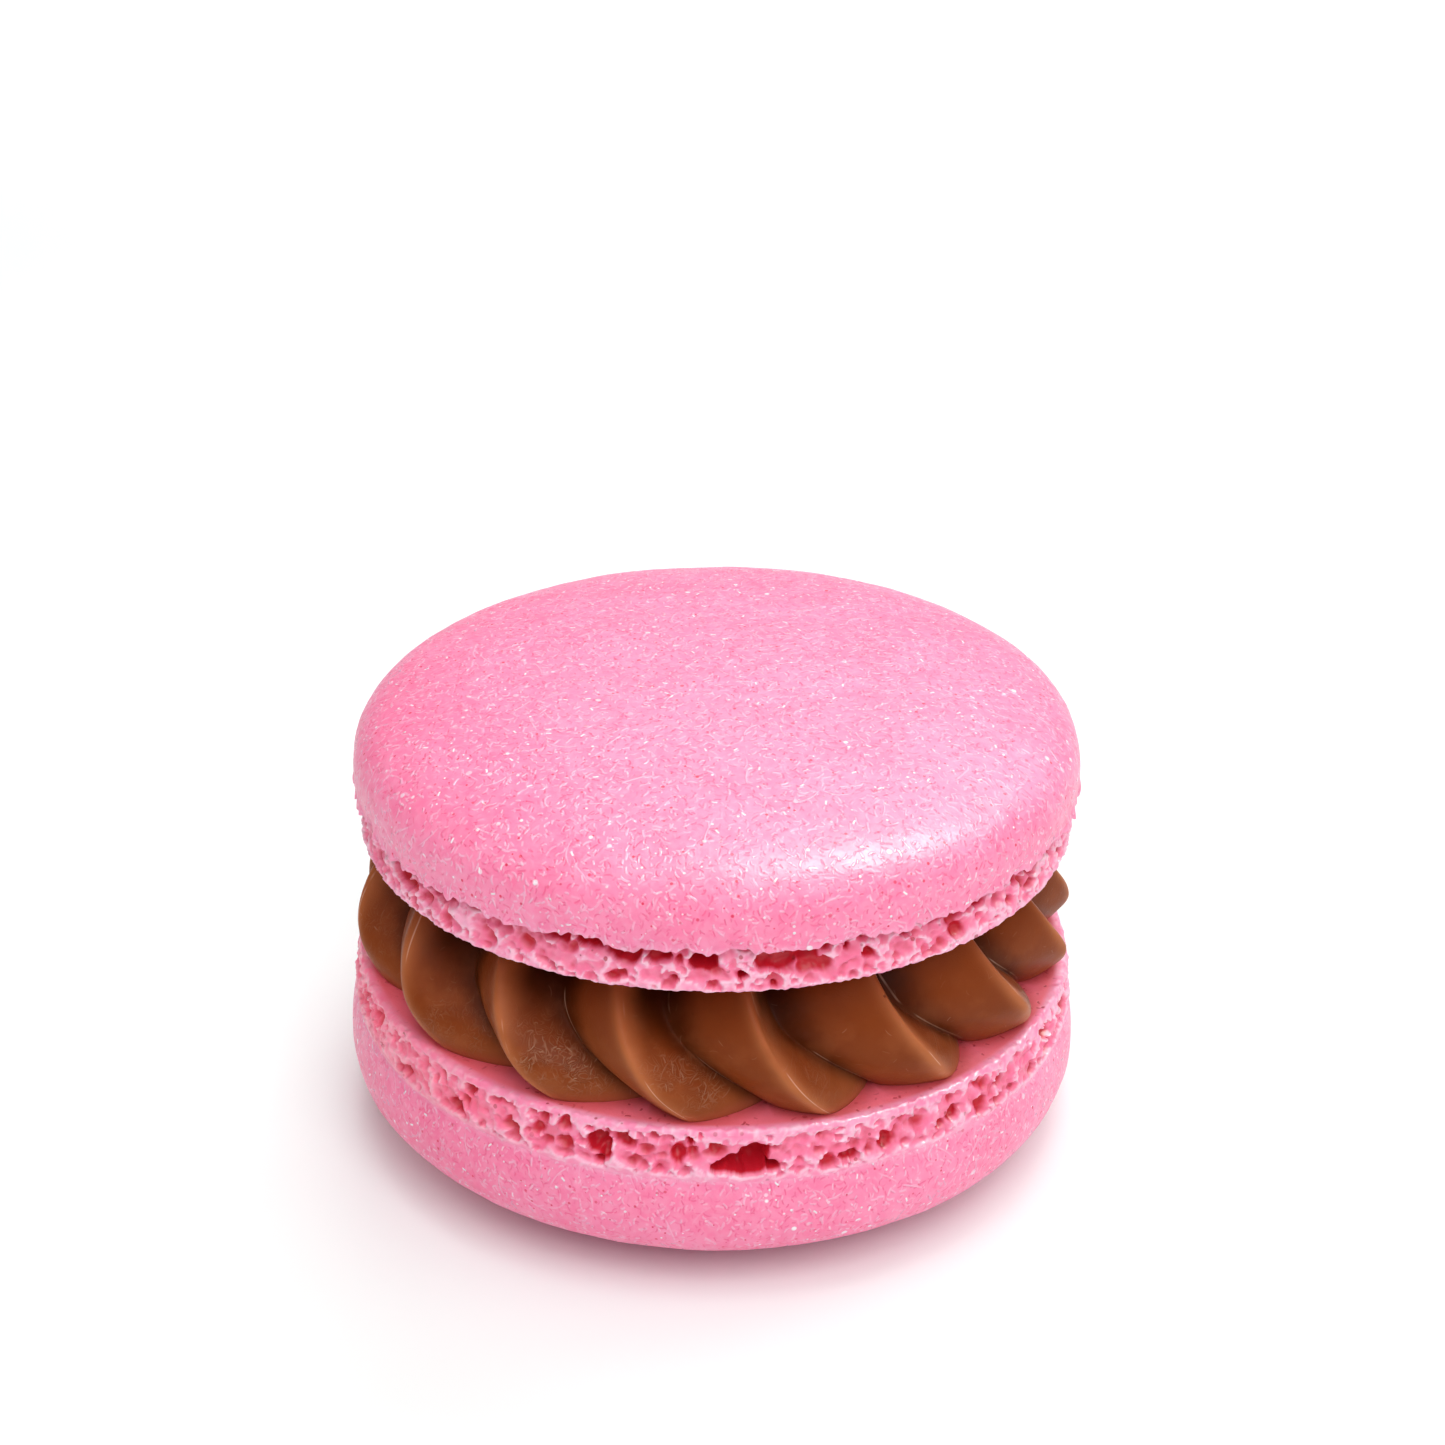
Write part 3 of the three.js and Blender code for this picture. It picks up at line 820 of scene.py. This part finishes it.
def new_material(name, **constants):
    """A material with its graph, its coordinates and its shader; constants go on the shader's sockets."""
    material = bpy.data.materials.new(name)
    material.use_nodes = True
    graph = Graph(material.node_tree)
    shader = material.node_tree.nodes["Principled BSDF"]
    for key, value in constants.items():
        shader.inputs[key.replace("_", " ")].default_value = value
    coords = graph.add("ShaderNodeTexCoord").outputs["Object"]
    return material, graph, coords, shader


def attribute(graph, name, output="Fac"):
    return graph.add("ShaderNodeAttribute", attribute_name=name).outputs[output]


def bumped(graph, shader, height, distance):
    bump = graph.add("ShaderNodeBump", {"Height": height, "Distance": distance, "Strength": 1.0})
    graph.link(bump.outputs["Normal"], shader.inputs["Normal"])


PINK = (0.98, 0.232, 0.422, 1)
PINK_DEEP = (0.92, 0.115, 0.275, 1)
PINK_PALE = (0.99, 0.46, 0.63, 1)
THREAD_PINK = (0.99, 0.62, 0.78, 1)
PORE_RED = (0.78, 0.018, 0.085, 1)
GLINT_WHITE = (0.99, 0.94, 0.97, 1)
CRUMB = (0.98, 0.250, 0.445, 1)
CRUMB_PALE = (0.98, 0.37, 0.56, 1)
CRUMB_SHADED = (0.95, 0.140, 0.275, 1)
CRUMB_LEFT_SHADE = (0.93, 0.130, 0.190, 1)
WALL_HIGHLIGHT = (0.99, 0.62, 0.74, 1)
HOLLOW_SHADE_RED = (0.60, 0.012, 0.030, 1)
FLAT_PINK = (0.92, 0.172, 0.238, 1)
SPECK_BROWN = (0.42, 0.02, 0.03, 1)
CREAM_SHADOW_BROWN = (0.52, 0.055, 0.050, 1)
CHOCOLATE = (0.225, 0.045, 0.009, 1)
CHOCOLATE_DARK = (0.15, 0.026, 0.005, 1)
CHOCOLATE_PALE = (0.49, 0.152, 0.056, 1)
CHOCOLATE_DEEP = (0.050, 0.007, 0.001, 1)
CHOCOLATE_BLACK = (0.035, 0.005, 0.000, 1)
CREAM_PINK_BOUNCE = (0.52, 0.14, 0.075, 1)
SCRATCH_AND_GLINT_TAN = (0.80, 0.48, 0.34, 1)
FROST_HIGHLIGHT = (0.66, 0.38, 0.24, 1)


def brushed_layers(graph, skin, layers):
    """The strongest of several layers of strokes; a layer is (shift, scale, length, width, share)."""
    total = 0.0
    for shift, scale, length, width, share in layers:
        strokes = placed(
            graph, STROKES, "Mask", Vector=skin, Shift=shift, Scale=scale, Length=length, Width=width,
            Bend=0.9 / length, Share=share,
        )
        total = graph.most(total, strokes)
    return total


def crust_material():
    material, graph, coords, shader = new_material(
        "satin_crust", Subsurface_Weight=0.2, Subsurface_Radius=(1.0, 0.35, 0.45),
        Subsurface_Scale=0.0008, IOR=1.47,
    )
    skin = attribute(graph, "skin", "Vector")
    clouds = graph.ramp(graph.noise(coords, 260.0, detail=4.0), 0.38, 0.62)
    mottle = graph.ramp(graph.noise(coords, 1500.0, detail=3.0), 0.35, 0.65)
    colour = graph.mix(graph.times(clouds, 0.28), PINK, PINK_DEEP)
    # Painted shade: the pink is deeper towards the left side, where less light falls.
    colour = graph.mix(attribute(graph, "flush"), colour, PINK_DEEP)
    colour = graph.mix(graph.times(mottle, 0.22), colour, PINK_PALE)
    dark = brushed_layers(graph, skin, (
        (0.013, 1050.0, 0.00038, 0.00009, 0.85), (0.031, 1500.0, 0.00026, 0.00008, 0.85),
        (0.083, 1900.0, 0.00018, 0.00008, 0.8),
    ))
    colour = graph.mix(graph.times(dark, 0.75), colour, PINK_DEEP)
    threads = brushed_layers(graph, skin, (
        (0.0, 1000.0, 0.00038, 0.00011, 0.8), (0.021, 1350.0, 0.00030, 0.00009, 0.85),
        (0.047, 1800.0, 0.00020, 0.00009, 0.85), (0.071, 430.0, 0.00110, 0.00008, 0.6),
    ))
    colour = graph.mix(graph.times(threads, 0.5), colour, THREAD_PINK)
    pores = graph.most(
        placed(graph, FLECKS, "Mask", Vector=coords, Scale=1700.0, Size=0.18, Share=0.7),
        placed(graph, FLECKS, "Mask", Vector=coords, Scale=1050.0, Size=0.15, Share=0.3),
    )
    colour = graph.mix(graph.times(pores, 0.95), colour, PORE_RED)
    # Sugar grains with painted glints: fine ones all over, and coarser ones that lie in loose clusters,
    # raised a little in the bump and painted white for the light that glints off them.
    clusters = graph.ramp(graph.noise(coords, 130.0, detail=1.0), 0.46, 0.6)
    coarse = placed(graph, FLECKS, "Mask", Vector=coords, Scale=950.0, Size=0.2, Share=0.7)
    fine = placed(graph, FLECKS, "Mask", Vector=coords, Scale=1500.0, Size=0.15, Share=0.75)
    grain_glints = graph.most(fine, graph.times(clusters, coarse))
    glint_chips = placed(
        graph, STROKES, "Mask", Vector=skin, Shift=0.061, Scale=650.0, Length=0.00022, Width=0.00009,
        Bend=2000.0, Share=0.4,
    )
    grain_glints = graph.most(grain_glints, glint_chips)
    colour = graph.mix(graph.times(grain_glints, 0.9), colour, GLINT_WHITE)
    # Painted highlight: the thin torn edge is paler, where light catches it and shines through.
    edge = graph.ramp(attribute(graph, "edge"), 0.8, 1.0)
    colour = graph.mix(graph.times(edge, 0.35), colour, PINK_PALE)
    graph.link(colour, shader.inputs["Base Color"])
    rough = graph.ramp(graph.noise(coords, 700.0, detail=3.0), 0.3, 0.7, 0.34, 0.46)
    rough = graph.minus(rough, graph.times(threads, 0.14))
    rough = graph.plus(rough, graph.times(edge, 0.4))
    graph.link(rough, shader.inputs["Roughness"])
    height = graph.minus(threads, graph.times(dark, 0.8))
    height = graph.plus(height, graph.times(graph.noise(coords, 2600.0), 0.9))
    height = graph.plus(height, graph.times(graph.noise(coords, 1100.0), 1.6))
    height = graph.plus(height, grain_glints)
    bumped(graph, shader, height, 0.00003)
    return material


def crumb_material():
    material, graph, coords, shader = new_material(
        "porous_crumb", Subsurface_Weight=0.12, Subsurface_Radius=(1.0, 0.3, 0.4),
        Subsurface_Scale=0.0004, IOR=1.45, Coat_Roughness=0.2,
    )
    side = attribute(graph, "side")
    depth = attribute(graph, "depth")
    patches = graph.ramp(graph.noise(coords, 900.0, detail=3.0), 0.35, 0.65)
    colour = graph.mix(patches, CRUMB, CRUMB_PALE)
    # Painted highlight: ridges and thin membranes are paler, where they stand out into the light.
    lit_walls = attribute(graph, "wall")
    colour = graph.mix(graph.times(lit_walls, 0.8), colour, WALL_HIGHLIGHT)
    # Painted shade: the crumb darkens and reddens into its bubbles and hollows, where little light
    # reaches.
    colour = graph.mix(graph.times(graph.ramp(depth, 0.05, 0.14), 0.55), colour, CRUMB_SHADED)
    # Painted shade under the overhanging crust's edge.
    colour = graph.mix(graph.times(attribute(graph, "under_lip"), 0.6), colour, CRUMB_SHADED)
    colour = graph.mix(graph.ramp(depth, 0.14, 0.42), colour, HOLLOW_SHADE_RED)
    flat = graph.mix(graph.times(attribute(graph, "rim"), 0.6), FLAT_PINK, CRUMB_PALE)
    # Painted shadow and brown bounce light on the flat face next to the cream.
    flat = graph.mix(graph.times(attribute(graph, "stain"), 0.7), flat, CREAM_SHADOW_BROWN)
    colour = graph.mix(side, flat, colour)
    # Painted shade: the crumb and the flat face are redder towards the left side, where less light falls.
    colour = graph.mix(graph.times(attribute(graph, "flush"), 0.8), colour, CRUMB_LEFT_SHADE)
    pits = placed(graph, FLECKS, "Mask", Vector=coords, Scale=1300.0, Size=0.22, Share=0.34)
    slivers = brushed_layers(graph, coords, (
        (0.005, 700.0, 0.00026, 0.0001, 0.8), (0.009, 1000.0, 0.00016, 0.00009, 0.8),
    ))
    slivers = graph.times(slivers, graph.minus(1.0, side))
    slivers = graph.times(slivers, graph.ramp(attribute(graph, "flush"), 0.1, 0.5, 1.0, 0.3))
    pits = graph.most(pits, slivers)
    colour = graph.mix(graph.times(pits, 0.75), colour, SPECK_BROWN)
    graph.link(colour, shader.inputs["Base Color"])
    rough = graph.ramp(side, 0.0, 1.0, 0.5, 0.36)
    graph.link(rough, shader.inputs["Roughness"])
    wet = graph.ramp(graph.noise(coords, 900.0, detail=2.0), 0.4, 0.56)
    wet = graph.times(wet, graph.ramp(depth, 0.04, 0.12, 0.45, 0.0))
    graph.link(graph.times(wet, side), shader.inputs["Coat Weight"])
    height = graph.times(graph.noise(coords, 2400.0, detail=3.0), 0.8)
    height = graph.minus(height, graph.times(pits, 0.4))
    bumped(graph, shader, height, 0.00007)
    return material


def hairline(graph, value, place, width):
    """A thin line where the value is at `place`, fading out within `width`."""
    off = graph.math("ABSOLUTE", graph.minus(value, place))
    return graph.ramp(off, 0.3 * width, width, 1.0, 0.0)


def cream_glint_lines(graph, coords, crest, rise):
    """Painted highlights: fine pale lines along the crests and the grooves, in broken lengths, where
    light glints on their sharp edges.
    """
    near_crest = graph.ramp(crest, 0.1, 0.5)
    by_crest = hairline(graph, attribute(graph, "by_crest"), 0.022, 0.006)
    by_groove = hairline(graph, attribute(graph, "by_groove"), 0.05, 0.016)
    by_groove = graph.times(by_groove, graph.minus(1.0, near_crest))
    glint_lines = graph.most(graph.times(by_crest, near_crest), graph.times(by_groove, 0.7))
    broken = graph.ramp(graph.noise(coords, 260.0, detail=2.0), 0.46, 0.56)
    return graph.times(glint_lines, graph.times(broken, graph.ramp(rise, 0.5, 0.85, 1.0, 0.3)))


def frost_strokes(graph, coords, skin):
    """The fine strands and strokes of the frosted skin on the bellies, partly its texture and partly a
    painted highlight.
    """
    strands = placed(graph, STRANDS, "Height", Vector=coords, Scale=1000.0, Lines=12.0, Cover=0.75)
    fine = brushed_layers(graph, skin, (
        (0.029, 1150.0, 0.00036, 0.000045, 0.9), (0.037, 1600.0, 0.00028, 0.000045, 0.9),
        (0.053, 2300.0, 0.00018, 0.00004, 0.9),
    ))
    return graph.most(graph.times(strands, 0.5), fine)


def cream_material():
    material, graph, coords, shader = new_material(
        "chocolate_cream", Subsurface_Weight=0.15, Subsurface_Radius=(1.0, 0.4, 0.2),
        Subsurface_Scale=0.0008, IOR=1.40, Coat_Roughness=0.22, Specular_IOR_Level=0.1,
    )
    crest = attribute(graph, "crest")
    groove = attribute(graph, "groove")
    rise = attribute(graph, "rise")
    drift = graph.ramp(graph.noise(coords, 180.0, detail=3.0), 0.35, 0.65)
    colour = graph.mix(graph.times(drift, 0.3), CHOCOLATE, CHOCOLATE_DARK)
    # Light hardly reaches the grooves, and least of all under the upper shell.
    colour = graph.mix(graph.times(graph.ramp(groove, 0.6, 1.0), 0.75), colour, CHOCOLATE_DEEP)
    colour = graph.mix(graph.times(attribute(graph, "pocket"), 0.97), colour, CHOCOLATE_BLACK)
    # Painted highlight: a paler band along each crest, where light falls on it and shines through its
    # thin edge, fading under the upper shell.
    ridge = graph.times(crest, graph.ramp(graph.noise(coords, 400.0), 0.2, 0.6, 0.6, 1.0))
    ridge = graph.times(ridge, graph.ramp(rise, 0.45, 0.8, 1.0, 0.4))
    colour = graph.mix(graph.times(ridge, 0.8), colour, CHOCOLATE_PALE)
    # Painted light: the cream is paler low down, and pinker at its foot, for the light that reaches it
    # there and bounces up from the pink shell.
    colour = graph.mix(graph.ramp(rise, 0.02, 0.3, 0.22, 0.0), colour, CHOCOLATE_PALE)
    colour = graph.mix(graph.ramp(rise, 0.0, 0.1, 0.5, 0.0), colour, CREAM_PINK_BOUNCE)
    # Painted highlights along crests and grooves, which also get a gloss coat; the same pale tan serves
    # the scratches below.
    glint_lines = cream_glint_lines(graph, coords, crest, rise)
    colour = graph.mix(graph.times(glint_lines, 0.45), colour, SCRATCH_AND_GLINT_TAN)
    skin = attribute(graph, "skin", "Vector")
    scratches = brushed_layers(graph, skin, (
        (0.0, 620.0, 0.00034, 0.00004, 0.35), (0.017, 900.0, 0.00024, 0.00004, 0.35),
    ))
    scratches = graph.times(scratches, graph.ramp(rise, 0.4, 0.7, 1.0, 0.0))
    colour = graph.mix(graph.times(scratches, 0.16), colour, SCRATCH_AND_GLINT_TAN)
    mottle = graph.ramp(graph.noise(coords, 500.0, detail=5.0), 0.42, 0.66)
    mottle = graph.times(mottle, graph.ramp(rise, 0.4, 0.7, 1.0, 0.0))
    colour = graph.mix(graph.times(mottle, 0.12), colour, CHOCOLATE_PALE)
    # The frosted bellies: darker beneath, with pale strokes that are partly the skin's texture and partly
    # a painted highlight.
    frost = frost_strokes(graph, coords, skin)
    frosted = graph.times(
        attribute(graph, "frosting"), graph.ramp(graph.noise(coords, 400.0), 0.35, 0.6)
    )
    colour = graph.mix(graph.times(frosted, 0.4), colour, CHOCOLATE_DARK)
    colour = graph.mix(graph.times(frost, graph.times(frosted, 0.65)), colour, FROST_HIGHLIGHT)
    pits = placed(graph, FLECKS, "Mask", Vector=coords, Scale=900.0, Size=0.09, Share=0.2)
    colour = graph.mix(graph.times(pits, 0.6), colour, CHOCOLATE_DEEP)
    graph.link(colour, shader.inputs["Base Color"])
    rough = graph.ramp(graph.noise(coords, 500.0, detail=3.0), 0.3, 0.7, 0.33, 0.48)
    graph.link(rough, shader.inputs["Roughness"])
    gloss = graph.most(graph.times(glint_lines, 0.3), graph.times(frosted, 0.06))
    graph.link(gloss, shader.inputs["Coat Weight"])
    height = graph.times(frost, graph.plus(frosted, 0.12))
    height = graph.plus(height, graph.times(graph.noise(coords, 1600.0), 0.25))
    height = graph.minus(height, graph.times(pits, 0.5))
    bumped(graph, shader, height, 0.00005)
    return material


# ---- The object ---------------------------------------------------------------------------------

crust = crust_material()
crumb = crumb_material()
cream = cream_material()
cream_edge = make_filling(cream)
for shell in (LOWER, UPPER):
    make_crust(shell, crust)
    make_foot(shell, crumb, cream_edge)


# ---- Floor, light and camera, in metres ---------------------------------------------------------

FLOOR_HALF_WIDTH = 3.0
FLOOR_WHITENS = (0.2, 0.5)  # how far from the macaron it starts to be seen as white, and is white


def make_floor():
    bm = bmesh.new()
    bmesh.ops.create_grid(bm, x_segments=1, y_segments=1, size=FLOOR_HALF_WIDTH)
    mesh = bpy.data.meshes.new("floor")
    bm.to_mesh(mesh)
    bm.free()
    material, graph, coords, shader = new_material(
        "white_floor", Base_Color=(0.90, 0.95, 0.935, 1), Roughness=0.9, Specular_IOR_Level=0.1,
        Emission_Strength=1.0,
    )
    # Far off, where the studio lights fade, the camera still sees the floor as white.
    away = graph.add("ShaderNodeVectorMath", {0: coords}, operation="LENGTH").outputs["Value"]
    seen = graph.add("ShaderNodeLightPath").outputs["Is Camera Ray"]
    far = graph.times(graph.ramp(away, *FLOOR_WHITENS), seen)
    graph.link(far, shader.inputs["Emission Color"])
    mesh.materials.append(material)
    floor = bpy.data.objects.new("floor", mesh)
    bpy.context.scene.collection.objects.link(floor)


@dataclass
class Softbox:
    """A studio light that looks at the macaron, placed by azimuth from the front and elevation."""

    name: str
    azimuth_deg: float
    elevation_deg: float
    width: float
    height: float
    strength: float  # the light that falls on a white card that faces it; 1 makes it white
    only_sheen: bool = False


MACARON_MIDDLE = Vector((0, 0, 0.015))
SOFTBOX_DISTANCE = 0.5
SHEEN_COLOUR = (0.9, 1.0, 0.86)  # turns the pink skin white where it shines
SOFTBOXES = [
    Softbox("front_light", 15, 50, 0.35, 0.35, 0.546),
    Softbox("top_light", 0, 90, 0.30, 0.30, 0.330),
    Softbox("right_light", 75, 30, 0.30, 0.30, 0.130),
    Softbox("right_back_light", 130, 35, 0.30, 0.30, 0.253),
    Softbox("back_light", 170, 45, 0.30, 0.30, 0.310),
    Softbox("left_light", 300, 50, 0.30, 0.30, 0.156),
    Softbox("sheen_light", 96, 65, 0.12, 0.36, 2.2, only_sheen=True),
]
WORLD_STRENGTH = 0.2


def make_softbox(box):
    data = bpy.data.lights.new(box.name, "AREA")
    data.shape = "RECTANGLE"
    data.size, data.size_y = box.width, box.height
    data.energy = box.strength * (math.pi * SOFTBOX_DISTANCE) ** 2
    lamp = bpy.data.objects.new(box.name, data)
    azimuth, elevation = math.radians(box.azimuth_deg), math.radians(box.elevation_deg)
    away = Vector((
        math.sin(azimuth) * math.cos(elevation),
        -math.cos(azimuth) * math.cos(elevation),
        math.sin(elevation),
    ))
    lamp.location = MACARON_MIDDLE + away * SOFTBOX_DISTANCE
    lamp.rotation_euler = away.to_track_quat("Z", "Y").to_euler()
    if box.only_sheen:
        lamp.visible_diffuse = False
        data.color = SHEEN_COLOUR
    bpy.context.scene.collection.objects.link(lamp)


def make_world(strength):
    """A dim even light from all round, which the camera itself sees as white."""
    world = bpy.data.worlds.new("white_studio")
    world.use_nodes = True
    graph = Graph(world.node_tree)
    background = world.node_tree.nodes["Background"]
    background.inputs["Color"].default_value = (1, 1, 1, 1)
    seen = graph.add("ShaderNodeLightPath").outputs["Is Camera Ray"]
    graph.link(graph.ramp(seen, 0.0, 1.0, strength, 1.0), background.inputs["Strength"])
    bpy.context.scene.world = world


CAMERA_PLACE = (0.00016, -0.149777, 0.103508)
CAMERA_PITCH_DEG = 27.041
CAMERA_YAW_DEG = 0.209
CAMERA_LENS = 65.64


def make_camera():
    data = bpy.data.cameras.new("camera")
    data.lens = CAMERA_LENS
    data.sensor_width = 36.0
    data.clip_start = 0.01
    camera = bpy.data.objects.new("camera", data)
    camera.location = CAMERA_PLACE
    camera.rotation_euler = (
        math.radians(90 - CAMERA_PITCH_DEG), 0.0, math.radians(-CAMERA_YAW_DEG)
    )
    bpy.context.scene.collection.objects.link(camera)
    bpy.context.scene.camera = camera


make_floor()
make_world(WORLD_STRENGTH)
for box in SOFTBOXES:
    make_softbox(box)
make_camera()
bpy.context.scene.view_settings.view_transform = "Standard"
